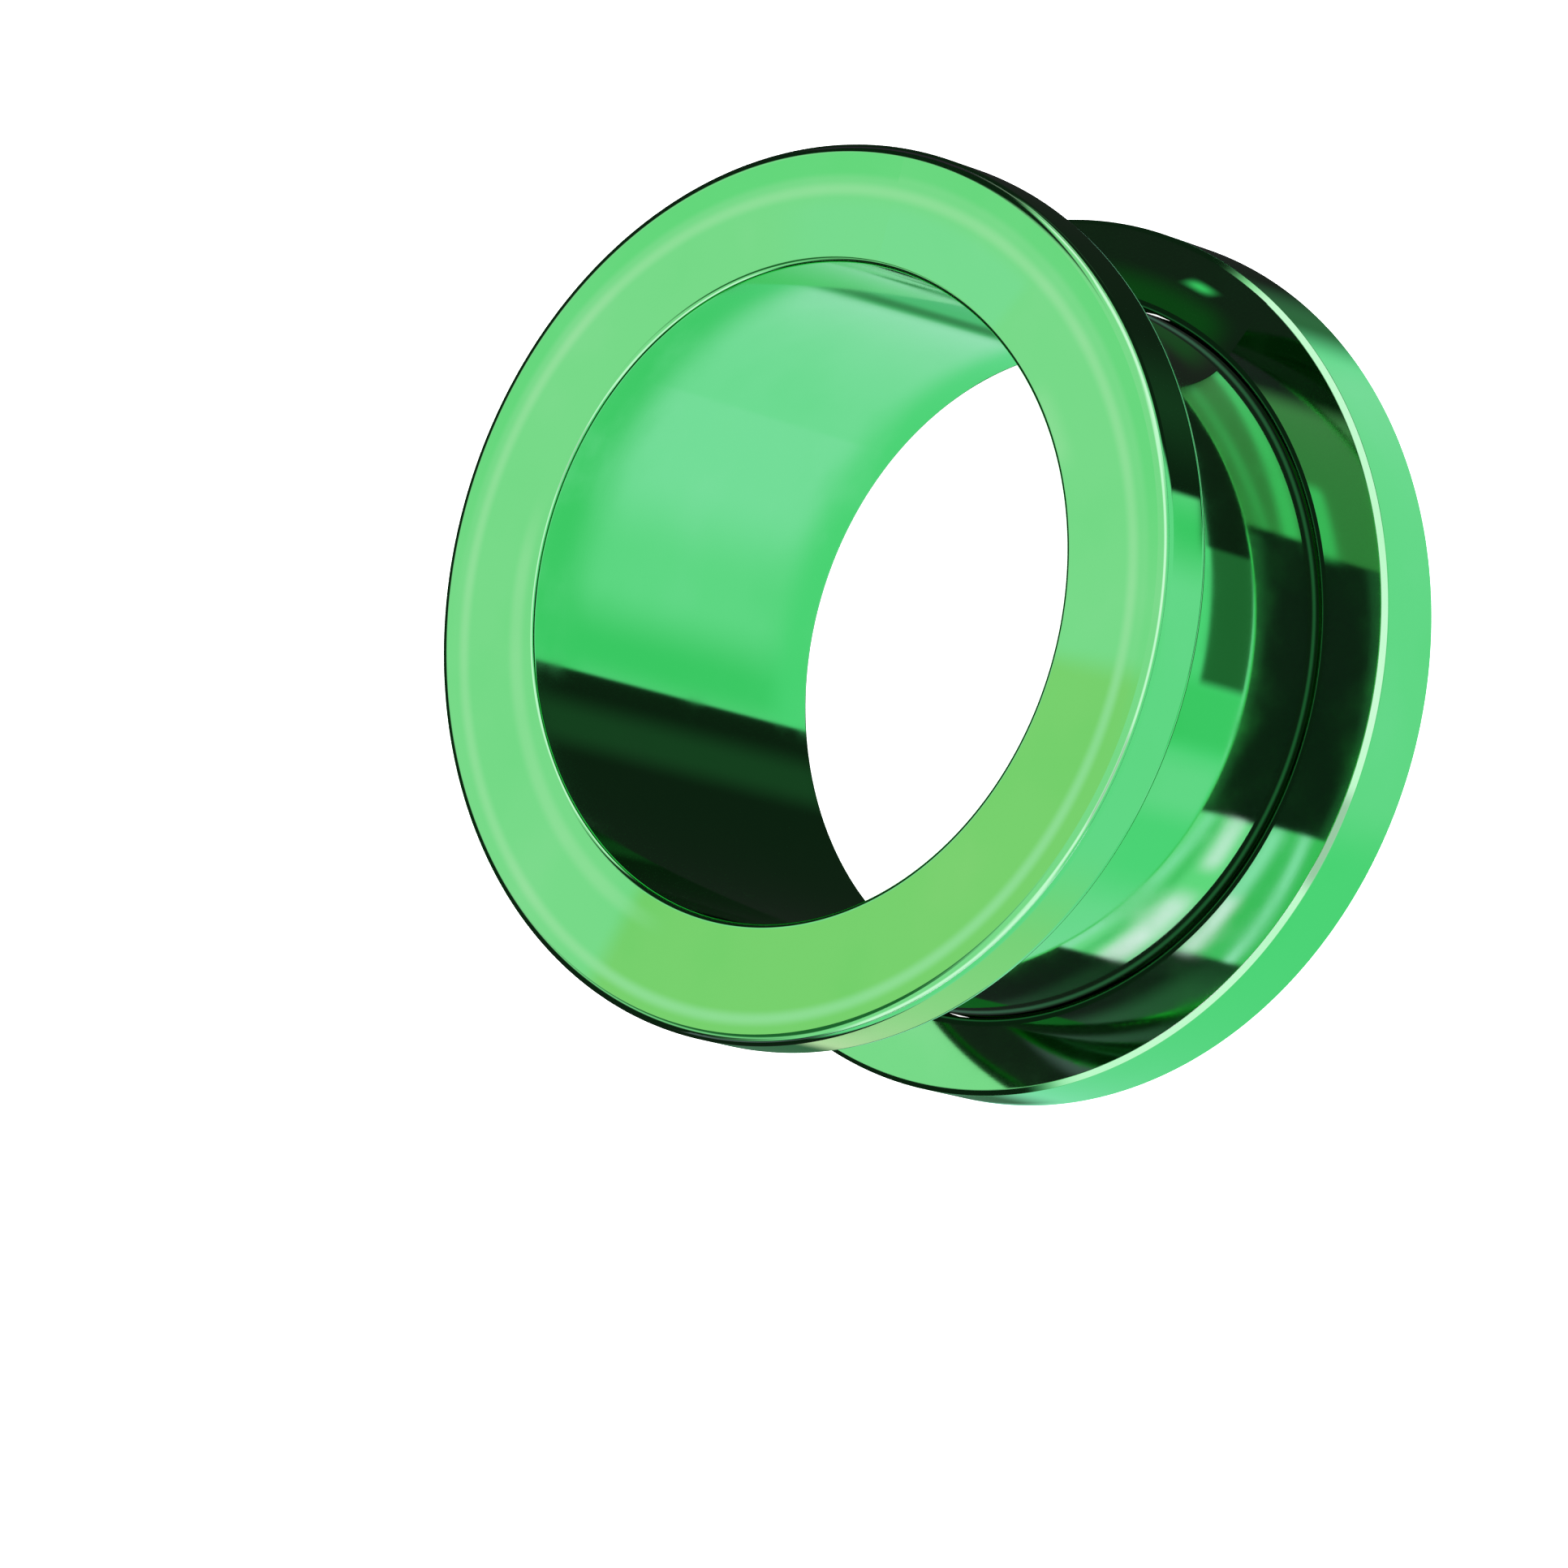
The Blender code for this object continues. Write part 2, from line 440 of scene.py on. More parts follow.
class SurfaceEffects:
    """Shader node groups that both pieces' metal uses, each built once."""

    PALE_RANGE = (0.52, 0.8)
    DEEP_RANGE = (0.48, 0.2)
    SMUDGE_RANGE = (0.45, 0.75)
    SMUDGE_SCALE = 420.0

    def __init__(self) -> None:
        """Build the groups."""
        self.film = self._film_group()
        self.handling = self._handling_group()
        self.lathe_rings = self._lathe_group()

    def _film_group(self) -> bpy.types.NodeTree:
        """Colour of the anodised film, which drifts paler and deeper in soft patches."""
        sheet, given, result = group_tree(
            "Anodised film", "Shader",
            {"Tint": "Color", "Pale": "Color", "Deep": "Color", "Scale": "Float", "Amount": "Float"},
            {"Colour": "Color"})
        place = sheet.add("ShaderNodeTexCoord").outputs["Object"]
        patches = sheet.add("ShaderNodeTexNoise", {
            "Vector": place, "Scale": given["Scale"], "Detail": 3.0, "Roughness": 0.45})
        pale, deep = (sheet.math("MULTIPLY", sheet.ramp(patches.outputs[0], *ends), given["Amount"])
                      for ends in (self.PALE_RANGE, self.DEEP_RANGE))
        paler = sheet.mix(pale, given["Tint"], given["Pale"])
        sheet.feed(result, {"Colour": sheet.mix(deep, paler, given["Deep"])})
        return sheet.tree

    def _handling_group(self) -> bpy.types.NodeTree:
        """Roughness of the polish, hazed a little in patches where fingers held it."""
        sheet, given, result = group_tree(
            "Handling", "Shader", {"Polish": "Float", "Haze": "Float"}, {"Roughness": "Float"})
        place = sheet.add("ShaderNodeTexCoord").outputs["Object"]
        smudges = sheet.add("ShaderNodeTexNoise", {
            "Vector": place, "Scale": self.SMUDGE_SCALE, "Detail": 5.0})
        hazed = sheet.ramp(smudges.outputs[0], *self.SMUDGE_RANGE)
        haze = sheet.math("MULTIPLY", hazed, given["Haze"])
        sheet.feed(result, {"Roughness": sheet.math("ADD", haze, given["Polish"])})
        return sheet.tree

    def _lathe_group(self) -> bpy.types.NodeTree:
        """Height of the faint rings round the axis that turning and polishing leave."""
        sheet, given, result = group_tree(
            "Lathe rings", "Shader", {"Pitch": "Float"}, {"Height": "Float"})
        place = sheet.add("ShaderNodeTexCoord").outputs["Object"]
        parts = sheet.add("ShaderNodeSeparateXYZ", {0: place})
        across = sheet.add("ShaderNodeCombineXYZ", {"X": parts.outputs["X"], "Y": parts.outputs["Y"]})
        radius = sheet.add("ShaderNodeVectorMath", {0: across.outputs[0]}, operation="LENGTH")
        run = sheet.math("ADD", radius.outputs["Value"], parts.outputs["Z"])
        rings = sheet.add("ShaderNodeTexNoise", {
            "W": sheet.math("DIVIDE", run, given["Pitch"]), "Scale": 1.0, "Detail": 4.0,
        }, noise_dimensions="1D")
        sheet.feed(result, {"Height": rings.outputs[0]})
        return sheet.tree


@dataclass
class ThreadForm:
    """The fine thread that holds the two pieces together.

    Attributes:
        pitch: Height climbed in one turn.
        depth: Depth of the groove.
        half_width: Half the groove's width, as a share of the pitch.
        reach: How far from the wall's radius a point still counts as on it.
        margin: Plain wall left beyond each end of the ring's thread.
        spacing: Longest step along a threaded wall.
    """

    pitch: float = 0.5 * MM
    depth: float = 0.22 * MM
    half_width: float = 0.44
    reach: float = 0.05 * MM
    margin: float = 0.25 * MM
    spacing: float = 0.03 * MM

    def cut(self, wall_radius: float, low: float, high: float, outward: bool) -> dict[str, float]:
        """Sizes of the groove in one wall, as the threading tree names them.

        Args:
            wall_radius: Radius of the wall that it is cut in.
            low: Height of the groove's first turn at the +X side.
            high: Height at which it runs out.
            outward: Whether it is cut away from the axis, as in a bore.

        Returns:
            Input name to value.
        """
        return {"Wall Radius": wall_radius, "Wall Reach": self.reach, "Pitch": self.pitch,
                "Depth": self.depth if outward else -self.depth, "Groove Share": self.half_width,
                "Low": low, "High": high}


@dataclass
class FlangedBarrel:
    """The tube that lines the ear, in one piece with its fixed flange.

    Attributes:
        bore_radius: Radius of the way through.
        gauge_radius: Outer radius of the tube.
        flange_thickness: Height of the flange.
        lip_round: Rounding of the flange's face into the bore.
        rim_round: Rounding of the rim's front edge.
        back_round: Rounding of its back edge.
        fillet: Rounding of the inner corner between tube and flange.
        end_round: Rounding of the free end's edges.
        face_spacing: Longest step across the face.
    """

    bore_radius: float = 8.95 * MM
    gauge_radius: float = 10.0 * MM
    flange_thickness: float = 2.0 * MM
    lip_round: float = 0.15 * MM
    rim_round: float = 0.3 * MM
    back_round: float = 0.4 * MM
    fillet: float = 0.6 * MM
    end_round: float = 0.1 * MM
    face_spacing: float = 0.2 * MM

    def outline(self, ring_thickness: float, spacing: float) -> Outline:
        """Work out the section, from the bore's lip over the flange and down to the free end.

        Args:
            ring_thickness: Height of the screw ring, which the thread reaches up to.
            spacing: Longest step along the threaded wall.

        Returns:
            The outline.
        """
        low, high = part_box("flanged_barrel")
        top, rim, end = high.z, high.x, low.z
        underside = top - self.flange_thickness
        return Outline([
            Corner(self.bore_radius, top, self.lip_round, self.face_spacing),
            Corner(rim, top, self.rim_round),
            Corner(rim, underside, self.back_round),
            Corner(self.gauge_radius, underside, self.fillet),
            Corner(self.gauge_radius, ring_thickness, 0.0, spacing),
            Corner(self.gauge_radius, end, self.end_round),
            Corner(self.bore_radius, end, self.end_round)])

    def build(self, lathe: Lathe, thread: ThreadForm, metal: bpy.types.Material) -> bpy.types.Object:
        """Turn the piece and put it in place of its CAD solid.

        Args:
            lathe: What turns it.
            thread: The thread's form.
            metal: Its material.

        Returns:
            The piece.
        """
        ring_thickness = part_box("screw_ring")[1].z
        cut = thread.cut(self.gauge_radius, thread.margin + thread.pitch / 2,
                         ring_thickness - thread.margin, outward=False)
        outline = self.outline(ring_thickness, thread.spacing)
        piece = lathe.turn("barrel_with_flange", outline, self.gauge_radius, metal, cut)
        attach(piece, "barrel")
        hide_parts("flanged_barrel")
        return piece


@dataclass
class ScrewRing:
    """The removable flange: a flat ring with the thread cut in its bore.

    Attributes:
        bore_radius: Radius of the threaded bore at its crests.
        bevel: Size of the chamfer round the rim's edges.
        edge_round: Rounding of that chamfer's own edges.
        mouth_round: Rounding of the bore's edges.
    """

    bore_radius: float = 10.06 * MM
    bevel: float = 0.14 * MM
    edge_round: float = 0.03 * MM
    mouth_round: float = 0.15 * MM

    def outline(self, spacing: float) -> Outline:
        """Work out the section, from the inner face over the rim to the outer face and up the bore.

        Args:
            spacing: Longest step along the threaded bore.

        Returns:
            The outline.
        """
        low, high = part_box("screw_ring")
        return Outline([
            Corner(self.bore_radius, high.z, self.mouth_round),
            Corner(high.x - self.bevel, high.z, self.edge_round),
            Corner(high.x, high.z - self.bevel, self.edge_round),
            Corner(high.x, low.z + self.bevel, self.edge_round),
            Corner(high.x - self.bevel, low.z, self.edge_round),
            Corner(self.bore_radius, low.z, self.mouth_round, spacing)])

    def build(self, lathe: Lathe, thread: ThreadForm, metal: bpy.types.Material) -> bpy.types.Object:
        """Turn the piece and put it in place of its CAD solid.

        Args:
            lathe: What turns it.
            thread: The thread's form.
            metal: Its material.

        Returns:
            The piece.
        """
        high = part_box("screw_ring")[1].z
        cut = thread.cut(self.bore_radius, thread.margin, high - thread.margin, outward=True)
        piece = lathe.turn("threaded_ring", self.outline(thread.spacing), self.bore_radius, metal, cut)
        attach(piece, "ring")
        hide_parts("screw_ring")
        return piece


@dataclass
class PhotoCamera:
    """The camera that sees the tunnel as the photograph does.

    Attributes:
        off_axis: Angle between the line of sight and the tunnel's axis, in degrees.
        roll: How far the axis leans below level in the picture, in degrees.
        sensor: Width of the sensor in millimetres.
        lens: Focal length in millimetres.
        face_centre: Where the flange's face is centred from the camera: right, down and away.
        clip: Nearest and furthest distance that the camera sees.
    """

    off_axis: float = 38.957
    roll: float = 14.448
    sensor: float = 36.0
    lens: float = 223.6
    face_centre: tuple[float, float, float] = (0.232 * MM, -5.140 * MM, 259.44 * MM)
    clip: tuple[float, float] = (1.0 * MM, 10.0)

    def build(self, face_height: float) -> bpy.types.Object:
        """Place the camera and make it the scene's.

        Args:
            face_height: Height of the flange's face above the floor.

        Returns:
            The camera.
        """
        tilt, roll = math.radians(self.off_axis), math.radians(self.roll)
        across, up = math.sin(roll), math.cos(roll)
        right = Vector((across, -math.cos(tilt) * up, -math.sin(tilt) * up))
        down = Vector((-up, -math.cos(tilt) * across, -math.sin(tilt) * across))
        away = Vector((0.0, math.sin(tilt), -math.cos(tilt)))
        data = bpy.data.cameras.new("photo_camera")
        data.sensor_width = self.sensor
        data.lens = self.lens
        data.clip_start, data.clip_end = self.clip
        camera = add_object("photo_camera", data)
        spot = Vector((0.0, 0.0, face_height))
        for direction, distance in zip((right, down, away), self.face_centre):
            spot -= direction * distance
        turn = Matrix((right, -down, -away)).transposed().to_4x4()
        camera.matrix_world = Matrix.Translation(spot) @ turn
        bpy.context.scene.camera = camera
        return camera


class Tone(Enum):
    """Radiance of the tones that the metal mirrors."""

    BLACK = (0.02, 0.02, 0.02)
    COAL = (0.035, 0.022, 0.03)
    NIGHT = (0.045, 0.07, 0.055)
    MOSS = (0.015, 0.12, 0.03)
    # The dim painted reflection line in the seam's painted shade
    SEAM = (0.07, 0.13, 0.11)
    DUSK = (0.075, 0.17, 0.11)
    SHADE = (0.20, 0.62, 0.40)
    LEAF = (0.27, 0.80, 0.54)
    JADE = (0.42, 0.90, 0.75)
    MINT = (0.72, 0.94, 1.0)
    PALE = (1.1, 1.0, 1.38)
    SUNNY = (1.02, 0.88, 0.75)
    WHITE = (3.6, 1.35, 2.8)
    CORNER_BLACK = (0.13, 0.025, 0.10)
    CORNER_SHADE = (0.45, 0.17, 0.45)
    CORNER_DUSK = (1.0, 0.37, 0.68)
    CORNER_LEAF = (1.5, 0.95, 1.8)
    CORNER_MINT = (4.5, 1.31, 3.9)
    CORNER_PALE = (9.0, 1.45, 7.6)
    CORNER_LAMP = (22.0, 1.62, 13.0)
    FACE = (1.23, 0.97, 1.12)
    FACE_SUNNY = (1.23, 0.88, 0.70)
    FACE_COOL = (1.23, 0.99, 1.32)
    FACE_PALE = (1.95, 1.04, 1.50)
    FACE_DEEP = (0.85, 0.94, 0.90)


@dataclass(frozen=True)
class Patch:
    """One soft-edged area of what the metal mirrors.

    Attributes:
        tone: Its radiance.
        around: Angles at which it starts and ends, in degrees.
        along: Heights at which it starts and ends, in millimetres on a wall or in degrees in the sky.
        soft: Half the width of its soft edges, round and along.
        lean: How far its sides lean round, in degrees for each unit along.
        rise: How far it climbs along, for each degree round.
        share: How much it covers, from 0 to 1.
    """

    tone: Tone
    around: tuple[float, float]
    along: tuple[float, float]
    soft: tuple[float, float]
    lean: float = 0.0
    rise: float = 0.0
    share: float = 1.0


class PatchPaint:
    """Paints lists of patches in shader trees, with one shared node group."""

    def __init__(self) -> None:
        """Build the group that tells how much of a patch shows at a place."""
        sizes = ("Around", "Along", "Around From", "Around To", "Along From", "Along To",
                 "Around Soft", "Along Soft", "Lean", "Rise", "Share")
        sheet, size, result = group_tree(
            "Soft patch", "Shader", dict.fromkeys(sizes, "Float"), {"Mask": "Float"})
        inside = sheet.math("MULTIPLY", self._window(sheet, size, "Around", "Along", "Lean"),
                            self._window(sheet, size, "Along", "Around", "Rise"))
        sheet.feed(result, {"Mask": sheet.math("MULTIPLY", inside, size["Share"])})
        self.group = sheet.tree

    def _window(self, sheet: NodeSheet, size: bpy.types.NodeOutputs, name: str, other: str,
                slope: str) -> Socket:
        """Tell, from 0 to 1, how far a coordinate that the other one shifts is inside its range."""
        low, high, soft = (size[name + end] for end in (" From", " To", " Soft"))
        reach = sheet.math("ADD", size[other + " From"], size[other + " To"])
        off = sheet.math("SUBTRACT", size[other], sheet.math("MULTIPLY", reach, 0.5))
        value = sheet.math("SUBTRACT", size[name], sheet.math("MULTIPLY", off, size[slope]))
        enters, leaves = (
            sheet.ramp(value, sheet.math("SUBTRACT", edge, soft), sheet.math("ADD", edge, soft), *ends)
            for edge, ends in ((low, (0.0, 1.0)), (high, (1.0, 0.0))))
        return sheet.math("MULTIPLY", enters, leaves)

    def colour(self, sheet: NodeSheet, around: Socket, along: Socket, ground: Tone,
               patches: tuple[Patch, ...]) -> Socket | tuple[float, ...]:
        """Lay patches over a ground, each over those before it.

        Args:
            sheet: The shader tree to paint in.
            around: The place's angle.
            along: Its height.
            ground: The tone where no patch is.
            patches: The patches.

        Returns:
            The radiance's socket, or the ground's colour where there are no patches.
        """
        result = opaque(ground.value)
        for patch in patches:
            mask = sheet.add("ShaderNodeGroup", {
                "Around": around, "Around From": patch.around[0], "Around To": patch.around[1],
                "Along": along, "Along From": patch.along[0], "Along To": patch.along[1],
                "Around Soft": patch.soft[0], "Along Soft": patch.soft[1],
                "Lean": patch.lean, "Rise": patch.rise, "Share": patch.share}, node_tree=self.group)
            result = sheet.mix(mask.outputs["Mask"], result, opaque(patch.tone.value))
        return result


@dataclass(frozen=True)
class MirrorCard:
    """A glowing card laid where the photograph's camera sees it mirrored in the tunnel.

    Attributes:
        name: The card's name.
        around: Angles round the metal between which it shows, in degrees.
        along: Heights on a wall, or distances across a face, between which it shows, in millimetres.
        level: Height at which the card lies.
        ground: Its tone where no patch is.
        patches: What is painted on it, by place on the metal.
    """

    name: str
    around: tuple[float, float]
    along: tuple[float, float]
    level: float
    ground: Tone
    patches: tuple[Patch, ...]
    STEPS = (180, 24)

    def _spot(self, camera: Vector, angle: float, reach: float) -> Vector | None:
        """Follow the camera's ray off the metal to the card.

        Args:
            camera: The camera's place.
            angle: Angle round the metal, in degrees.
            reach: Height or distance on the metal, in millimetres.

        Returns:
            The place on the card, or None where the metal doesn't mirror it.
        """
        raise NotImplementedError

    def _mark(self, angle: float, reach: float) -> tuple[float, float]:
        """Tell where a place on the metal lies on the painted map."""
        return angle, reach

    def build(self, camera: Vector, paint: PatchPaint) -> bpy.types.Object:
        """Lay the card out and light it.

        Args:
            camera: The camera's place.
            paint: What paints the patches.

        Returns:
            The card, which only mirrors see.
        """
        rounds = np.linspace(*self.around, self.STEPS[0] + 1)
        heights = np.linspace(*self.along, self.STEPS[1] + 1)
        places = [(angle, height) for angle in rounds for height in heights]
        spots = [self._spot(camera, angle, height) for angle, height in places]
        row = len(heights)
        squares = [(i, i + 1, i + 1 + row, i + row)
                   for i in range(len(spots) - row) if i % row != row - 1]
        faces = [square for square in squares if all(spots[i] is not None for i in square)]
        mesh = bpy.data.meshes.new(self.name)
        mesh.from_pydata([spot or Vector() for spot in spots], [], faces)
        marks = [self._mark(angle, height) for angle, height in places]
        for label, values in zip(("around", "along"), zip(*marks)):
            mesh.attributes.new(label, "FLOAT", "POINT").data.foreach_set("value", values)
        mesh.materials.append(self._glow(paint))
        card = add_object(self.name, mesh)
        for kind in ("camera", "diffuse", "transmission", "volume_scatter", "shadow"):
            setattr(card, "visible_" + kind, False)
        return card

    def _glow(self, paint: PatchPaint) -> bpy.types.Material:
        """Make the card's glow."""
        material = bpy.data.materials.new(self.name)
        material.use_nodes = True
        material.node_tree.nodes.clear()
        sheet = NodeSheet(material.node_tree)
        around = sheet.add("ShaderNodeAttribute", attribute_name="around").outputs["Fac"]
        along = sheet.add("ShaderNodeAttribute", attribute_name="along").outputs["Fac"]
        glow = sheet.add("ShaderNodeEmission", {
            "Color": paint.colour(sheet, around, along, self.ground, self.patches)})
        sheet.add("ShaderNodeOutputMaterial", {"Surface": glow.outputs[0]})
        material.cycles.emission_sampling = "NONE"
        return material


@dataclass(frozen=True)
class WallCard(MirrorCard):
    """A card mirrored once, in an upright wall.

    Attributes:
        radius: The wall's radius.
    """

    radius: float

    def _spot(self, camera: Vector, angle: float, reach: float) -> Vector | None:
        """Follow the camera's ray off the wall."""
        normal = unit(angle)
        wall = normal * self.radius
        wall.z = reach * MM
        ray = wall - camera
        ray -= normal * (2 * ray.dot(normal))
        return wall + ray * ((self.level - wall.z) / ray.z)


@dataclass(frozen=True)
class CornerCard(MirrorCard):
    """A card mirrored twice, in an upright wall and in the flat face that it stands on.

    Heights below the flat face stand for what the face shows of the wall.

    Attributes:
        radius: The wall's radius.
        corner: Height of the flat face.
        edge: Radius at which that face ends.
        spread: Distances from the axis between which the card lies.
    """

    radius: float
    corner: float
    edge: float
    spread: tuple[float, float]
    STEPS = (318, 86)

    def _spot(self, camera: Vector, angle: float, reach: float) -> Vector | None:
        """Follow the camera's ray off the wall and the flat face, in either order."""
        normal = unit(angle)
        seen = normal * self.radius
        seen.z = reach * MM
        ray = seen - camera
        off_wall = ray - normal * (2 * ray.dot(normal))
        last = Vector((seen.x, seen.y, 2 * self.corner - seen.z))
        before_face = off_wall if seen.z > self.corner else ray
        crossing = seen.xy + before_face.xy * ((self.corner - seen.z) / ray.z)
        away = Vector((off_wall.x, off_wall.y, -off_wall.z))
        spot = last + away * ((self.level - last.z) / away.z)
        inside = self.spread[0] < spot.xy.length < self.spread[1]
        return spot if crossing.length < self.edge and inside else None


@dataclass(frozen=True)
class FaceCard(MirrorCard):
    """A card mirrored once, in the flat upper face, and painted round a point near its middle.

    Attributes:
        height: Height of the face.
        middle: That point, in millimetres from the axis.
    """

    height: float
    middle: tuple[float, float] = (0.0, 0.0)

    def _spot(self, camera: Vector, angle: float, reach: float) -> Vector | None:
        """Follow the camera's ray off the face."""
        place = unit(angle) * (reach * MM)
        place.z = self.height
        ray = place - camera
        return place + Vector((ray.x, ray.y, -ray.z)) * ((self.level - self.height) / -ray.z)

    def _mark(self, angle: float, reach: float) -> tuple[float, float]:
        """Tell where a place on the face lies round the painted map's middle."""
        outward = unit(angle).xy
        place = outward * reach - Vector(self.middle)
        turn = math.atan2(outward.x * place.y - outward.y * place.x, outward.dot(place))
        return angle + math.degrees(turn), place.length


def unit(angle: float) -> Vector:
    """Find the level direction at an angle in degrees."""
    return Vector((math.cos(math.radians(angle)), math.sin(math.radians(angle)), 0.0))


FULL_TURN = (0, 360)
SLIVER = 0.001 * MM

# Each table lists what is painted on one card, by place on the metal that mirrors it
FLANGE_RIM = (
    Patch(Tone.MINT, (240, 300), (9, 13), (9, 0.1)),
    Patch(Tone.LEAF, (285, 293), (9, 13), (4, 0.1)),
    Patch(Tone.BLACK, (293.3, 400), (9, 13), (0.5, 0.1)),
    Patch(Tone.BLACK, (287.5, 400), (9, 10.85), (2, 0.25)),
    Patch(Tone.NIGHT, (300, 310), (9, 13), (7, 0.1), share=0.7),
    Patch(Tone.DUSK, (150, 199), (9, 13), (2, 0.1)),
)

RING_RIM = (
    Patch(Tone.MINT, (258, 322), (-1, 3), (5, 0.1)),
    Patch(Tone.DUSK, (326, 365), (-1, 3), (4, 0.1)),
    Patch(Tone.BLACK, (336, 365), (-1, 3), (5, 0.1)),
    Patch(Tone.DUSK, (170, 196), (0.4, 3), (4, 0.3)),
)

# The barrel's wall near the fixed flange
BARREL_WALL = (
    Patch(Tone.MINT, (215, 236), (4, 9), (6, 0.1)),
    Patch(Tone.MINT, (251, 260), (4, 9), (3, 0.1)),
    Patch(Tone.LEAF, (262, 272), (4, 9), (2, 0.1)),
    Patch(Tone.DUSK, (271.8, 297), (4, 7.3), (1, 0.12)),
    Patch(Tone.BLACK, (292.5, 350), (4, 7.45), (0.6, 0.15)),
)

# The barrel's wall over the ring, and the ring's inner face
CORNER = (
    Patch(Tone.CORNER_SHADE, (190, 222), (2.4, 3.7), (8, 0.5), share=0.5),
    Patch(Tone.CORNER_SHADE, (196, 226), (-3, 0.4), (8, 0.8), share=0.9),
    Patch(Tone.CORNER_MINT, (222.2, 252.8), (2.4, 8), (0.7, 0.25)),
    Patch(Tone.CORNER_LEAF, (222.2, 252.8), (4.35, 4.8), (0.7, 0.3), rise=-0.022),
    Patch(Tone.CORNER_PALE, (222.2, 252.8), (5.1, 5.45), (0.7, 0.2), rise=-0.038),
    Patch(Tone.CORNER_LAMP, (221.8, 238), (3.15, 4.2), (3, 0.35), rise=-0.01),
    Patch(Tone.CORNER_LAMP, (244, 253.5), (3.15, 3.85), (2, 0.3), share=0.9),
    Patch(Tone.CORNER_BLACK, (180, 222.2), (2.4, 8), (0.7, 0.25)),
    Patch(Tone.CORNER_SHADE, (190, 222), (2.4, 3.9), (9, 0.5), share=0.4),
    Patch(Tone.CORNER_LEAF, (227.8, 253.6), (-3, 2.3), (0.7, 0.1)),
    Patch(Tone.CORNER_PALE, (227.8, 253.6), (-0.35, 0.1), (0.7, 0.2), rise=0.036),
    Patch(Tone.CORNER_LAMP, (227.8, 241), (1.2, 1.9), (2, 0.3), rise=0.02),
    Patch(Tone.CORNER_PALE, (240, 253.6), (1.3, 2), (2.5, 0.3)),
    Patch(Tone.CORNER_DUSK, (290, 328), (-3, 2.35), (4, 0.1)),
    Patch(Tone.CORNER_BLACK, (253.3, 297), (-3, 8), (0.5, 0.1)),
    Patch(Tone.CORNER_SHADE, (253.3, 297), (4.8, 8), (0.5, 0.12), share=0.7),
    Patch(Tone.CORNER_SHADE, (253.3, 297), (-3, -0.2), (0.5, 0.12), share=0.7),
    Patch(Tone.CORNER_LEAF, (296.8, 309), (1.2, 2.35), (1.5, 0.25), share=0.9),
    Patch(Tone.CORNER_DUSK, (298.4, 331), (2.35, 8), (0.7, 0.1)),
    Patch(Tone.CORNER_LEAF, (298.4, 331), (2.9, 3.75), (0.7, 0.25), share=0.95),
    Patch(Tone.CORNER_LEAF, (298.4, 331), (5.05, 5.5), (0.7, 0.25), rise=0.04, share=0.5),
    Patch(Tone.CORNER_BLACK, (326, 380), (2.35, 7.05), (1.5, 0.1), lean=-3.2),
)

# What the ring's inner face shows of the flange over it
LEDGE = (
    Patch(Tone.CORNER_SHADE, (180, 216), (-3.4, -2), (6, 0.5), rise=-0.03, share=0.7),
    Patch(Tone.CORNER_DUSK, (297, 328), (-8, 3), (4, 0.1)),
)

# The shaded end of the ring's inner face
RING_FACE = (
    Patch(Tone.MOSS, (338, 364), (9, 10.9), (4, 0.4), share=0.5),
    Patch(Tone.LEAF, (342.8, 346.6), (11.2, 11.4), (1.6, 0.12), lean=-7, share=0.95),
)

# A dim painted reflection line on the black painted-shade ring over the seam
SEAM_PAINTED_REFLECTION = (
    Patch(Tone.SEAM, (-10, 370), (10.05, 10.15), (1, 0.04)),
)

BORE = (
    Patch(Tone.MINT, (-10, 58.5), (-1, 13), (0.6, 0.5), share=0.35),
    Patch(Tone.MINT, (82, 114), (-1, 13), (8, 0.5)),
    Patch(Tone.LEAF, (101, 114), (-1, 13), (6, 0.5)),
    Patch(Tone.LEAF, (-10, 190), (10.6, 13), (1, 0.9)),
    Patch(Tone.JADE, (-10, 190), (-1, 1.6), (1, 0.8)),
    Patch(Tone.LEAF, (-10, 22.4), (-1, 13), (1.2, 0.5), lean=0.3),
    Patch(Tone.SHADE, (8, 22.4), (-1, 13), (3, 0.5), lean=0.3),
    Patch(Tone.DUSK, (18.6, 22), (-1, 13), (1.5, 0.5), lean=0.3, share=0.7),
    Patch(Tone.BLACK, (112.6, 190), (-1, 13), (0.4, 0.5)),
    Patch(Tone.NIGHT, (119, 127), (-1, 13), (3, 0.5)),
)

FACE = (
    Patch(Tone.FACE_SUNNY, (163, 271.5), (7, 13), (2.5, 0.1)),
    Patch(Tone.FACE_COOL, (332, 365), (7, 10.9), (1.5, 0.3), share=0.7),
    Patch(Tone.FACE_COOL, (-5, 18), (7, 10.9), (6, 0.3), share=0.5),
    Patch(Tone.FACE_PALE, (-10, 370), (11.08, 11.36), (1, 0.13), share=0.75),
    Patch(Tone.FACE_PALE, (88, 165), (9.2, 9.6), (8, 0.15), share=0.6),
    Patch(Tone.FACE_PALE, (304, 317), (8.8, 9.6), (3, 0.3), share=0.5),
    Patch(Tone.FACE_DEEP, (-10, 90), (11.6, 13), (25, 0.12)),
    Patch(Tone.FACE_DEEP, (280, 370), (11.7, 13), (25, 0.12), share=0.8),
)

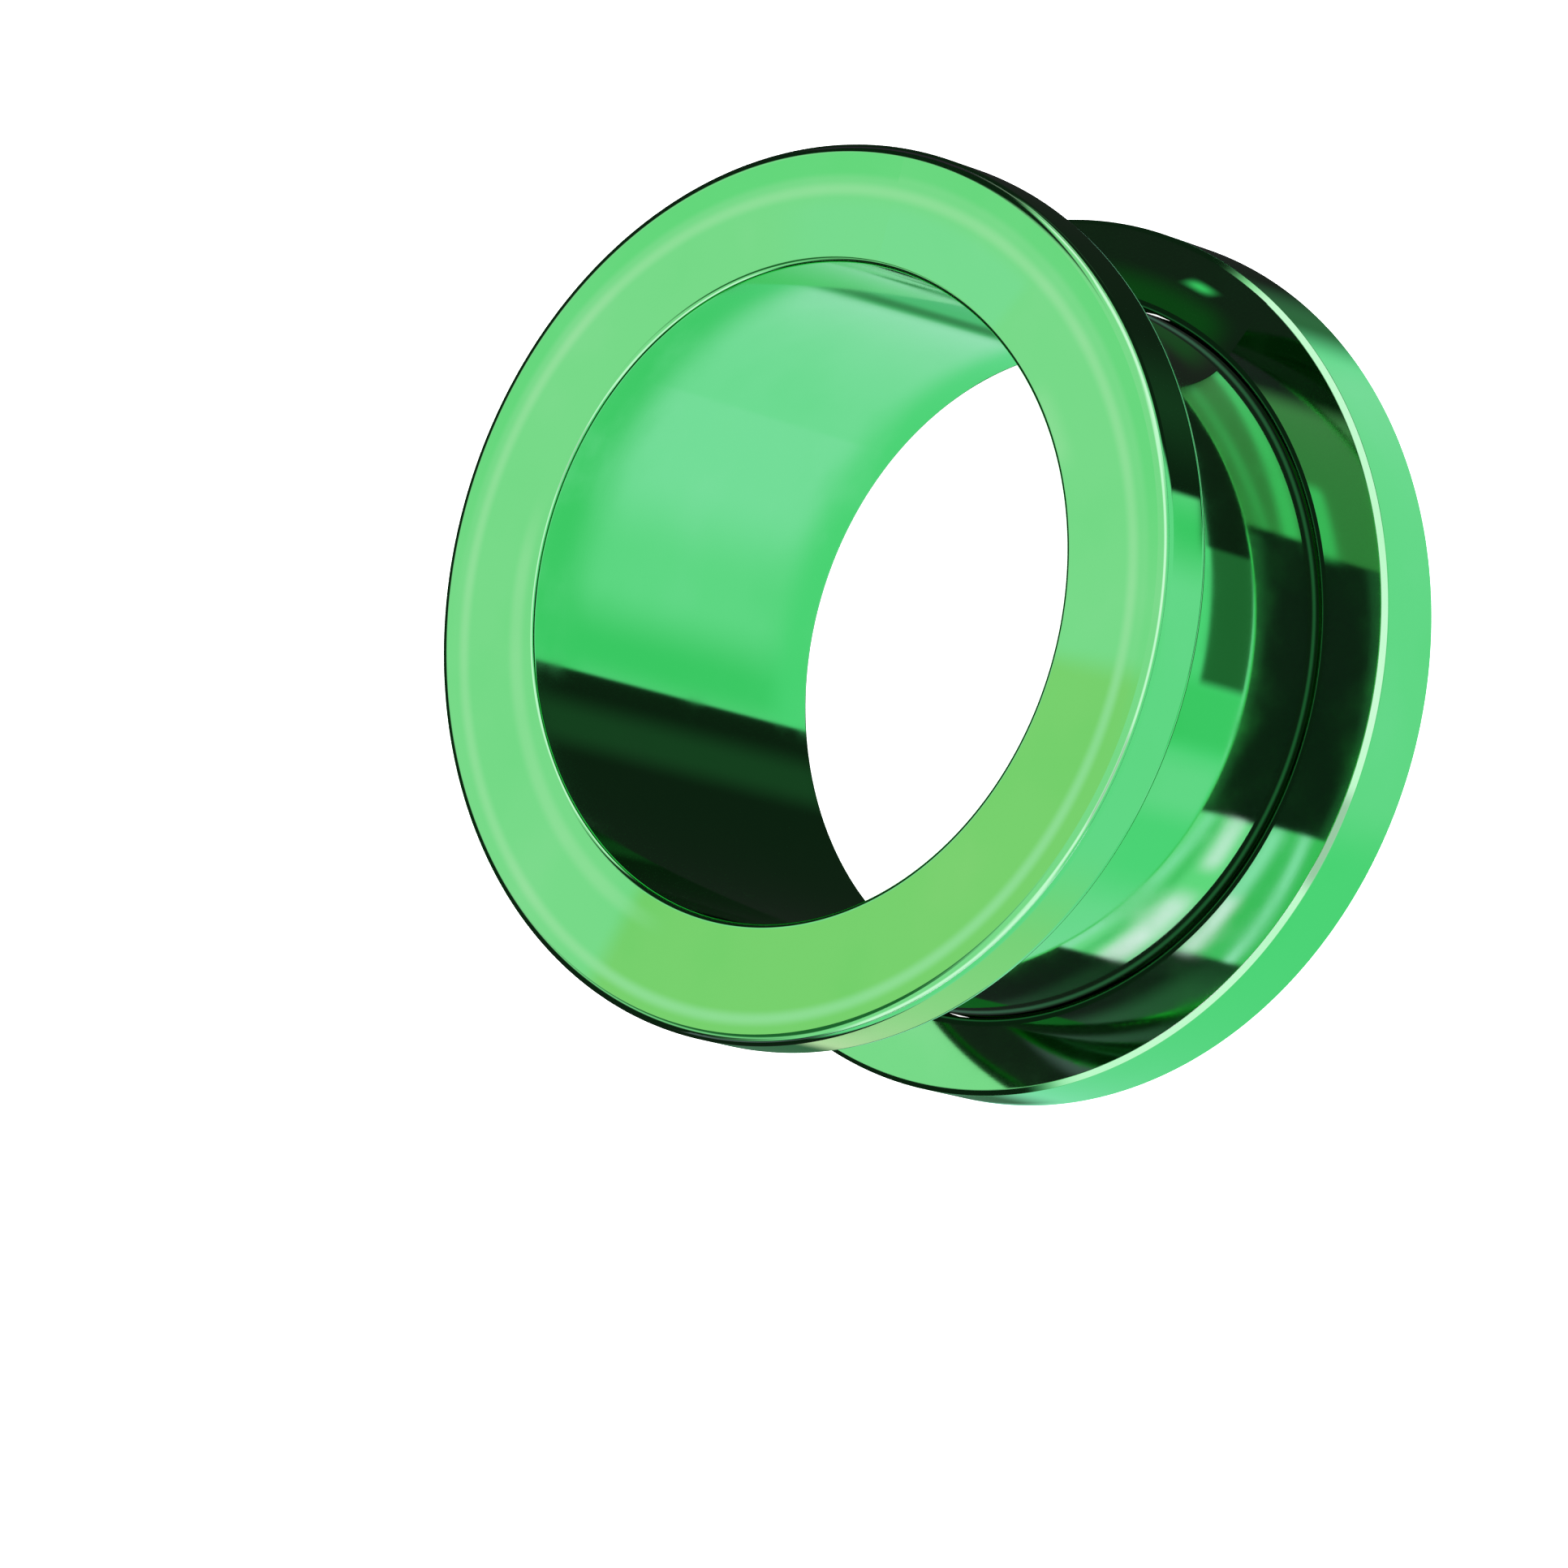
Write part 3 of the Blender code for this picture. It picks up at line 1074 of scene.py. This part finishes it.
# The sky that the metal mirrors past the cards
SKY = (
    Patch(Tone.MINT, (150, 330), (-95, 20), (20, 6)),
    Patch(Tone.WHITE, (205, 335), (28, 50), (15, 5)),
    Patch(Tone.WHITE, (170, 225), (8, 33), (6, 6)),
    Patch(Tone.WHITE, (315, 372), (8, 33), (10, 6)),
    Patch(Tone.WHITE, (-12, 12), (5, 22), (4, 6)),
    Patch(Tone.BLACK, (236, 258), (30, 46), (3, 4), share=0.4),
    Patch(Tone.BLACK, (18, 66), (-95, 52), (4, 5)),
    Patch(Tone.DUSK, (104, 150), (42, 64), (3, 5)),
    Patch(Tone.BLACK, (317, 372), (-95, -8), (4, 5)),
    Patch(Tone.BLACK, (-12, 18), (-95, -8), (4, 5)),
    Patch(Tone.BLACK, (17, 167), (-95, 17), (4, 5)),
    Patch(Tone.BLACK, (40, 150), (-95, 34), (10, 5)),
    Patch(Tone.MOSS, (74, 110), (-75, -15), (8, 8)),
)


@dataclass
class Studio:
    """Floor, light, cards and background.

    Attributes:
        floor_radius: Radius of the floor.
        paper: Colour of the floor.
        table_glow: How brightly the floor is lit from below.
        key_strength: Strength of the light on the floor.
        key_spread: Angle that this light spans, in degrees.
        backdrop: What the camera sees past the floor.
        table: Height just under the floor, where the rims' cards lie.
        wall_depth: Height of the card that the barrel's wall mirrors.
        bore_depth: Height of the card that the bore mirrors.
        skim: Distance from a face to a card that lies close to it.
        seam_lift: Height of the seam's black painted-shade card over the ring.
        throat_depth: Depth of a black painted-shade card in the seam, under the ring's inner face.
        ledge_drop: Distance from the flange's underside down to its card.
        face_lift: Height of the face's card over the face.
        face_middle: Point near the axis that the face's card is painted round, in millimetres.
    """

    FLOOR_SIDES = 96

    floor_radius: float = 2.0
    paper: Colour = (0.86, 0.86, 0.86)
    table_glow: float = 1.2
    key_strength: float = 3.0
    key_spread: float = 4.0
    backdrop: Colour = (0.9, 0.9, 0.9)
    table: float = -0.05 * MM
    wall_depth: float = -1.0 * MM
    bore_depth: float = -40.0 * MM
    skim: float = 0.02 * MM
    seam_lift: float = 0.015 * MM
    throat_depth: float = 0.2 * MM
    ledge_drop: float = 0.03 * MM
    face_lift: float = 0.1 * MM
    face_middle: tuple[float, float] = (-0.3, 0.0)

    def build(self, camera: bpy.types.Object, barrel: FlangedBarrel) -> None:
        """Make the floor, the lights, the cards and the world.

        Args:
            camera: The photograph's camera, which the key light stands beside.
            barrel: The barrel's sizes.
        """
        self._floor()
        self._key_light(camera)
        paint = PatchPaint()
        for card in self._cards(barrel):
            card.build(camera.matrix_world.translation, paint)
        self._world(paint)

    def _floor(self) -> None:
        """Lay a pale paper floor, which mirrors don't show: the cards and the world stand in for it."""
        sides = range(self.FLOOR_SIDES)
        mesh = bpy.data.meshes.new("floor")
        mesh.from_pydata([unit(360 * side / len(sides)) * self.floor_radius for side in sides], [],
                         [tuple(sides)])
        floor = add_object("floor", mesh)
        paper = bpy.data.materials.new("pale_paper")
        paper.use_nodes = True
        NodeSheet(paper.node_tree).feed(paper.node_tree.nodes["Principled BSDF"], {
            "Base Color": opaque(self.paper), "Roughness": 0.9, "Specular IOR Level": 0.0,
            "Emission Color": opaque(self.paper), "Emission Strength": self.table_glow})
        mesh.materials.append(paper)
        floor.visible_glossy = False

    def _key_light(self, camera: bpy.types.Object) -> None:
        """Light the floor from beside the camera, so that it stays bright down the bore."""
        data = bpy.data.lights.new("key_light", "SUN")
        data.energy = self.key_strength
        data.angle = math.radians(self.key_spread)
        key = add_object("key_light", data)
        key.matrix_world = camera.matrix_world
        key.visible_glossy = False

    def _cards(self, barrel: FlangedBarrel) -> list[MirrorCard]:
        """List the cards, each painted by where the metal shows it."""
        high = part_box("flanged_barrel")[1]
        rim, top, wall = high.x, high.z, barrel.gauge_radius
        ring_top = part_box("screw_ring")[1].z
        ledge = top - barrel.flange_thickness - self.ledge_drop
        under_flange = (wall + barrel.fillet, rim - barrel.back_round)
        return [
            WallCard("flange_rim_card", (160, 392), (10.4, 12.5), self.table, Tone.SUNNY,
                     FLANGE_RIM, rim),
            WallCard("ring_rim_card", (180, 360), (-0.1, 2.4), self.table, Tone.JADE, RING_RIM, rim),
            WallCard("barrel_card", (190, 350), (4.5, 9), self.wall_depth, Tone.JADE,
                     BARREL_WALL, wall),
            CornerCard("corner_card", (201, 347), (-2, 6.6), top + self.skim, Tone.CORNER_BLACK,
                       CORNER, wall, ring_top, rim, (rim, math.inf)),
            CornerCard("ledge_card", (180, 350), (-6.2, 2.3), ledge, Tone.COAL, LEDGE,
                       wall, ring_top, rim, under_flange),
            FaceCard("ring_face_card", (334, 376), (10.24, 12.19), ring_top + self.skim, Tone.COAL,
                     RING_FACE, ring_top),
            # Black rings of painted shade mirrored in the seam: one over the seam carrying a dim painted
            # reflection line, one down in the seam under the ring's inner face, and a painted contact
            # shadow under the gap at the floor.
            self._painted_shade_ring("seam_painted_shade_card", (10.003, 10.3), ring_top + self.seam_lift, SEAM_PAINTED_REFLECTION),
            self._painted_shade_ring("throat_painted_shade_card", (10.003, 10.057), ring_top - self.throat_depth),
            self._painted_shade_ring("gap_painted_shadow_card", (9.9, 10.4), -self.skim),
            WallCard("bore_card", (0, 180), (-0.5, 12.9), self.bore_depth, Tone.PALE, BORE,
                     barrel.bore_radius),
            FaceCard("face_card", FULL_TURN, (9.09, 11.94), top + self.face_lift, Tone.FACE, FACE, top,
                     self.face_middle),
        ]

    def _painted_shade_ring(self, name: str, along: tuple[float, float], level: float,
               patches: tuple[Patch, ...] = ()) -> FaceCard:
        """Make a black ring of painted shade that lies just over the places that mirror it."""
        return FaceCard(name, FULL_TURN, along, level, Tone.BLACK, patches, level - SLIVER)

    def _world(self, paint: PatchPaint) -> None:
        """Fill the world: white to the camera and the floor, and a sky with dark sides to the metal."""
        world = bpy.data.worlds.new("studio")
        world.use_nodes = True
        sheet = NodeSheet(world.node_tree)
        direction = sheet.add("ShaderNodeTexCoord").outputs["Generated"]
        toward = sheet.add("ShaderNodeSeparateXYZ", {0: direction})
        turn = sheet.math("DEGREES", sheet.math("ARCTAN2", toward.outputs["Y"], toward.outputs["X"]))
        around = sheet.math("FLOORED_MODULO", turn, 360.0)
        height = sheet.math("DEGREES", sheet.math("ARCSINE", toward.outputs["Z"]))
        sky = paint.colour(sheet, around, height, Tone.FACE, SKY)
        light = sheet.add("ShaderNodeLightPath")
        seen = sheet.mix(light.outputs["Is Glossy Ray"], opaque(self.backdrop), sky)
        sheet.feed(world.node_tree.nodes["Background"], {"Color": seen})
        bpy.context.scene.world = world


GREEN_BARREL = AnodisedSteel("barrel_green")
GREEN_RING = AnodisedSteel("ring_green")


def main() -> None:
    """Build the tunnel's looks, the studio and the camera."""
    logging.basicConfig(level=logging.INFO, format="%(name)s: %(message)s")
    bpy.context.scene.view_settings.view_transform = "Standard"
    effects = SurfaceEffects()
    lathe = Lathe()
    thread = ThreadForm()
    barrel_sizes = FlangedBarrel()
    barrel = barrel_sizes.build(lathe, thread, GREEN_BARREL.material(effects))
    LOG.info("%s: %d faces", barrel.name, len(barrel.data.polygons))
    ring = ScrewRing().build(lathe, thread, GREEN_RING.material(effects))
    LOG.info("%s: %d faces", ring.name, len(ring.data.polygons))
    camera = PhotoCamera().build(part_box("flanged_barrel")[1].z)
    Studio().build(camera, barrel_sizes)
    LOG.info("studio and camera are in place")


if __name__ == "__main__":
    main()
